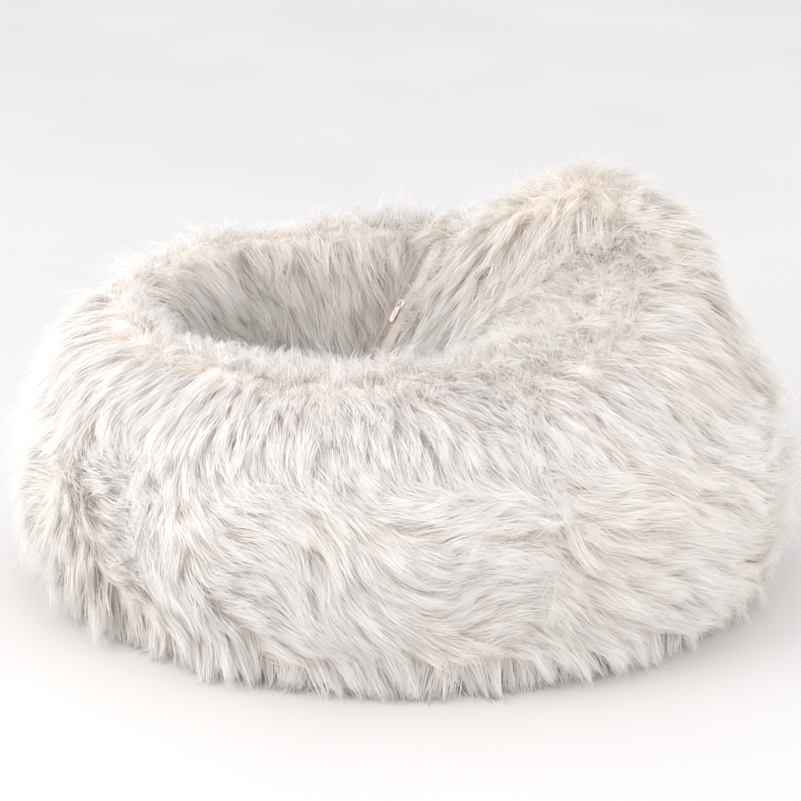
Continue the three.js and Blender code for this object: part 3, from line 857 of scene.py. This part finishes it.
def bead_material():
    """Round polystyrene beads, each raised in the middle, with painted shade darkening the gaps between
    them.
    """
    n = Nodes("polystyrene beads")
    cells = n.add("TexVoronoi", {"Vector": n.place(), "Scale": 240.0})
    # Bright bead tops and painted shade in the gaps between beads; the same pattern raises each bead.
    dome_with_painted_shade = n.ramp(cells.outputs["Distance"], [(0.0, (1, 1, 1)), (0.7, (0.45, 0.45, 0.45))])
    colour = n.mix(1.0, (0.95, 0.95, 0.94, 1), dome_with_painted_shade, "MULTIPLY")
    n.bump(dome_with_painted_shade, 0.0015)
    return n.finish(colour, 0.7)


def floor_material():
    n = Nodes("pale floor")
    cloud = n.noise(1.5, 3, n.place())
    colour = n.ramp(cloud, [(0.3, (0.66, 0.64, 0.62)), (0.7, (0.69, 0.67, 0.65))])
    return n.finish(colour, 0.75, Specular_IOR_Level=0.2)


def dress(piece, material, body="bag"):
    piece.data.materials.clear()
    piece.data.materials.append(material)
    if body:
        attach(piece, body)


# ---- Building ------------------------------------------------------------------------------------------
def build_cover():
    trees = [tree_of(NODES[name].data) for name in PANELS]
    skin = outer_skin(trees)
    backing = backing_material()
    for name, piece in zip(PANELS, panel_pieces(skin, trees)):
        dress(piece, backing)
        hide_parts(name)
    lines, ups, owner, tone_and_painted_shade = make_strands(skin, trees)
    random = np.random.default_rng(ROLL_SEED)
    pile = fur_material()
    for k, name in enumerate(PANELS):
        own = np.nonzero(owner == k)[0]
        for part in range(math.ceil(len(own) / MOST_STRANDS)):
            chosen = own[part * MOST_STRANDS:(part + 1) * MOST_STRANDS]
            label = f"{name}_pile_{part + 1}"
            mesh = strand_mesh(label, lines[chosen], ups[chosen], tone_and_painted_shade[chosen], random)
            dress(new_object(label, mesh), pile)
    return skin


def soft_inside(node, label, skin_tree, gap, crease, wavelength):
    """A soft closed piece from its CAD node, creased, and kept at least this far inside the cover."""
    # The filling closes the liner's hollow, which is thinner than a voxel in places.
    piece = new_object(label, joined(sorted({node, "bead_fill"})))
    apply(piece, "REMESH", mode="VOXEL", voxel_size=LINER_VOXEL)
    keep_outer_island(piece.data)
    apply(piece, "SMOOTH", factor=0.5, iterations=3)
    points, normals = points_of(piece.data), normals_of(piece.data)
    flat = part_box(node)[0].z
    free = smooth(flat + 0.004, flat + 0.03, points[:, 2])
    points += normals * (crease * ripples(points, wavelength, 8) * free)[:, None]
    for i, point in enumerate(points):
        place, normal, _, _ = skin_tree.find_nearest(point)
        outside = (Vector(point) - place).dot(normal) + gap
        if outside > 0:
            points[i] = point - np.array(normal) * outside
    points[:, 2] = np.maximum(points[:, 2], flat)
    move_points(piece.data, points)
    apply(piece, "SMOOTH", factor=0.5, iterations=2)
    shade_smooth(piece.data)
    return piece


def build_inside(skin):
    """The liner and its filling, which the cover hides."""
    skin_tree = tree_of(skin.data)
    cloth = woven_material("liner cloth", (0.78, 0.76, 0.73), (0.86, 0.85, 0.82), 2400)
    liner = soft_inside("liner_bag", "liner_cloth", skin_tree, 0.006, 0.0016, 0.035)
    apply(liner, "SOLIDIFY", thickness=LINER_CLOTH, offset=-1)
    dress(liner, cloth)
    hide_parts("liner_bag")
    filling = soft_inside("bead_fill", "bead_filling", skin_tree, 0.014, 0.0007, 0.012)
    dress(filling, bead_material())
    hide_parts("bead_fill")
    delete(skin)


def strand_tube(points, radius, sides=6):
    """Vertices and faces of a thin round tube along these points."""
    points = np.asarray(points)
    along = unit(np.gradient(points, axis=0))
    across = unit(np.cross(along, np.array([0.31, 0.52, 0.80])))
    third = np.cross(along, across)
    turn = np.arange(sides) * 2 * math.pi / sides
    ring = across[:, None] * np.cos(turn)[None, :, None] + third[:, None] * np.sin(turn)[None, :, None]
    vertices = (points[:, None] + ring * radius).reshape(-1, 3)
    faces = []
    for i in range(len(points) - 1):
        for j in range(sides):
            k = (j + 1) % sides
            faces.append((i * sides + j, i * sides + k, (i + 1) * sides + k, (i + 1) * sides + j))
    faces.append(tuple(range(sides))[::-1])
    faces.append(tuple(range((len(points) - 1) * sides, len(points) * sides)))
    return vertices, faces


def mesh_of(name, parts, matrix):
    """One mesh of several (vertices, faces) parts, moved by the matrix."""
    vertices, faces, start = [], [], 0
    for part_vertices, part_faces in parts:
        vertices.append(part_vertices)
        faces += [tuple(start + i for i in face) for face in part_faces]
        start += len(part_vertices)
    mesh = bpy.data.meshes.new(name)
    mesh.from_pydata(np.concatenate(vertices).tolist(), [], faces)
    mesh.transform(matrix)
    mesh.validate()
    shade_smooth(mesh)
    return mesh


def coil_row(centre_x, half_width, half_depth, half_length):
    """One row of nylon coil: a flattened helix along y."""
    turns = round(2 * half_length / COIL_PITCH)
    angle = np.linspace(0, turns * 2 * math.pi, turns * COIL_STEPS + 1)
    wire = COIL_WIRE / 2
    points = np.stack([
        centre_x + (half_width - wire) * np.cos(angle),
        np.linspace(-half_length + wire, half_length - wire, len(angle)),
        (half_depth - wire) * np.sin(angle),
    ], axis=1)
    return strand_tube(points, wire)


def tape_strip(low, high, seed):
    """A woven tape of one thickness that ripples very slightly along its length."""
    columns, rows = TAPE_COLUMNS, TAPE_ROWS
    x = np.linspace(low[0], high[0], columns)
    y = np.linspace(low[1], high[1], rows)
    grid = np.stack([np.repeat(x[None], rows, 0), np.repeat(y[:, None], columns, 1)], axis=2).reshape(-1, 2)
    wave = ripples(np.column_stack([grid, np.zeros(len(grid))]), 0.02, seed)
    height = 0.00012 * np.clip(wave, -1, 1)
    top = np.column_stack([grid, height + TAPE / 2])
    bottom = np.column_stack([grid, height - TAPE / 2])
    count = len(grid)
    faces = []
    for r in range(rows - 1):
        for c in range(columns - 1):
            i = r * columns + c
            faces.append((i, i + 1, i + columns + 1, i + columns))
            faces.append(tuple(count + k for k in (i, i + columns, i + columns + 1, i + 1)))
    border = [*range(columns), *((r + 1) * columns - 1 for r in range(1, rows))]
    border += [*range(rows * columns - 2, (rows - 1) * columns - 1, -1)]
    border += [r * columns for r in range(rows - 2, 0, -1)]
    for a, b in zip(border, border[1:] + border[:1]):
        faces.append((a, count + a, count + b, b))
    return np.concatenate([top, bottom]), faces


def stitch_line(x, half_length, height):
    """A row of machine stitches along y: short threads, each bowed up out of the cloth."""
    parts = []
    count = int(2 * half_length / STITCH_PITCH)
    for i in range(count):
        start = -half_length + i * STITCH_PITCH
        share = np.linspace(0, 1, 5)
        points = np.stack([
            np.full(5, x),
            start + share * STITCH_PITCH * STITCH_SHARE,
            height + STITCH_BOW * np.sin(share * math.pi),
        ], axis=1)
        parts.append(strand_tube(points, THREAD / 2, 5))
    return parts


def zip_parts(prefix, matrix, looks):
    """The coil, tapes and stitches of one zip, built in its own frame."""
    inverse = matrix.inverted()

    def extent(node):
        corners = np.array([inverse @ v.co for v in NODES[node].data.vertices])
        return corners.min(0), corners.max(0)

    def placed(label, parts, low, high):
        level = Matrix.Translation((0, 0, (low[2] + high[2]) / 2))
        return new_object(label, mesh_of(label, parts, matrix @ level))

    for side in ("left", "right"):
        node = f"{prefix}_coil_{side}"
        low, high = extent(node)
        half_width, half_length, half_depth = (high - low) / 2
        row = coil_row((low[0] + high[0]) / 2, half_width, half_depth, half_length)
        piece = placed(node + "_turns", [row], low, high)
        dress(piece, looks["coil"])
        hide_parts(node)

        node = f"{prefix}_tape_{side}"
        low, high = extent(node)
        piece = placed(node + "_weave", [tape_strip(low, high, 40 + len(side))], low, high)
        dress(piece, looks["tape"])
        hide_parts(node)

        outer = max(abs(low[0]), abs(high[0]))
        sign = 1 if high[0] > abs(low[0]) else -1
        rows = []
        for inset in STITCH_INSETS:
            rows += stitch_line(sign * (outer - inset), high[1] - 0.002, (TAPE / 2 + 0.00005) * looks["out"])
        dress(placed(node + "_stitches", rows, low, high), looks["thread"])


def bevelled(node, label, material, body, width):
    """A metal part with its edges rounded off."""
    shape = bmesh.new()
    shape.from_mesh(NODES[node].data)
    bmesh.ops.remove_doubles(shape, verts=shape.verts, dist=1e-6)
    bmesh.ops.dissolve_limit(shape, angle_limit=math.radians(2), verts=shape.verts, edges=shape.edges)
    mesh = bpy.data.meshes.new(label)
    shape.to_mesh(mesh)
    shape.free()
    piece = new_object(label, mesh)
    apply(piece, "BEVEL", width=width, segments=2, limit_method="ANGLE", angle_limit=math.radians(35))
    dress(piece, material, body)
    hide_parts(node)
    return piece


def build_zips():
    metal = metal_material()
    looks = {
        "tape": woven_material("zip tape", (0.80, 0.69, 0.61), (0.87, 0.77, 0.70), 3600),
        "coil": coil_material(),
        "thread": thread_material(),
    }
    zip_parts("cover_zip", ZIP_MATRIX, {**looks, "out": 1, "on": "fur_gore_right_backing"})
    centre = middle(["liner_zip_tape_left", "liner_zip_tape_right"])
    liner_matrix = Matrix.Translation(centre) @ Matrix.Rotation(-math.pi / 2, 4, "Z")
    zip_parts("liner_zip", liner_matrix, {**looks, "out": -1, "on": "liner_cloth"})
    bodies = {
        "cover_zip_slider": "cover_slider",
        "cover_zip_pull": "cover_pull",
        "liner_zip_slider": "liner_slider",
    }
    for name in list(NODES):
        if "stop" in name or "slider" in name or "pull" in name:
            bevelled(name, name + "_cast", metal, bodies.get(name, "bag"), METAL_EDGE)


def build_base():
    """The base disc: thin cloth, flat on the floor, puckered a little where it is sewn."""
    corners = points_of(NODES["base_panel"].data)
    rim = corners[corners[:, 2] < 0.001]
    around = np.arctan2(rim[:, 1], rim[:, 0])
    _, first = np.unique(np.round(around, 4), return_index=True)
    rim = rim[first]
    far = np.hypot(rim[:, 0], rim[:, 1])
    keep = far > 0.9 * BASE_HIGH.y
    rim, around = rim[keep], around[first][keep]
    angles = np.linspace(-math.pi, math.pi, BASE_SECTORS + 1)[:-1]
    reach = np.interp(angles, around, np.hypot(rim[:, 0], rim[:, 1]), period=2 * math.pi)
    shares = np.concatenate([np.linspace(0.02, 0.9, 40), np.linspace(0.91, 1, 14)])
    radius = reach[None] * shares[:, None] - 0.0005
    pucker = np.sin(angles * BASE_PUCKERS)[None] * smooth(0.93, 1.0, shares)[:, None]
    level = BASE_CLOTH + 0.0003 + 0.0004 * (1 + pucker)
    points = np.stack([radius * np.cos(angles), radius * np.sin(angles), level + 0 * radius], axis=2)
    points = points.reshape(-1, 3)
    points = np.concatenate([[[0, 0, BASE_CLOTH + 0.0007]], points])
    faces = [(0, 1 + j, 1 + (j + 1) % BASE_SECTORS) for j in range(BASE_SECTORS)]
    for i in range(len(shares) - 1):
        inner, outer = 1 + i * BASE_SECTORS, 1 + (i + 1) * BASE_SECTORS
        for j in range(BASE_SECTORS):
            k = (j + 1) % BASE_SECTORS
            faces.append((inner + j, outer + j, outer + k, inner + k))
    piece = new_object("base_cloth", mesh_of("base_cloth", [(points, faces)], Matrix()))
    apply(piece, "SOLIDIFY", thickness=BASE_CLOTH, offset=-1)
    shade_smooth(piece.data)
    dress(piece, woven_material("base cloth", (0.66, 0.60, 0.53), (0.74, 0.69, 0.62), 1800))
    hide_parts("base_panel")


# ---- Stage -----------------------------------------------------------------------------------------------
def area_light(name, place, target, size, power, colour):
    data = bpy.data.lights.new(name, "AREA")
    data.shape = "DISK"
    data.size = size
    data.energy = power
    data.color = colour
    light = new_object(name, data)
    light.location = place
    light.rotation_mode = "QUATERNION"
    light.rotation_quaternion = (Vector(target) - Vector(place)).to_track_quat("-Z", "Y")


def build_stage():
    shape = bmesh.new()
    bmesh.ops.create_grid(shape, x_segments=8, y_segments=8, size=12)
    mesh = bpy.data.meshes.new("floor")
    shape.to_mesh(mesh)
    shape.free()
    floor = new_object("floor", mesh)
    mesh.materials.append(floor_material())

    world = bpy.data.worlds.new("studio")
    bpy.context.scene.world = world
    world.use_nodes = True
    background = world.node_tree.nodes["Background"]
    background.inputs["Color"].default_value = (0.93, 0.95, 1.0, 1)
    background.inputs["Strength"].default_value = 1.25
    area_light("key", (-2.1, -1.5, 2.3), (0, 0, 0.25), 2.4, 38, (1.0, 0.99, 0.97))
    area_light("fill", (2.2, -1.8, 1.2), (0.1, 0, 0.2), 2.2, 22, (1.0, 0.95, 0.88))
    area_light("side", (-2.6, -1.0, 0.8), (-0.2, 0, 0.2), 1.8, 20, (1.0, 0.98, 0.96))
    scene = bpy.context.scene
    scene.view_settings.view_transform = "Standard"
    scene.cycles.max_bounces = 8
    scene.cycles.diffuse_bounces = 8
    scene.cycles.transmission_bounces = 4


def build_camera():
    data = bpy.data.cameras.new("camera")
    data.lens = 103.8
    data.sensor_width = 36
    camera = new_object("camera", data)
    camera.location = (0, -2.819, 1.276)
    aim = Vector((-0.012, 0, 0.228))
    camera.rotation_mode = "QUATERNION"
    camera.rotation_quaternion = (aim - camera.location).to_track_quat("-Z", "Y")
    bpy.context.scene.camera = camera


build_camera()
build_inside(build_cover())
build_zips()
build_base()
build_stage()
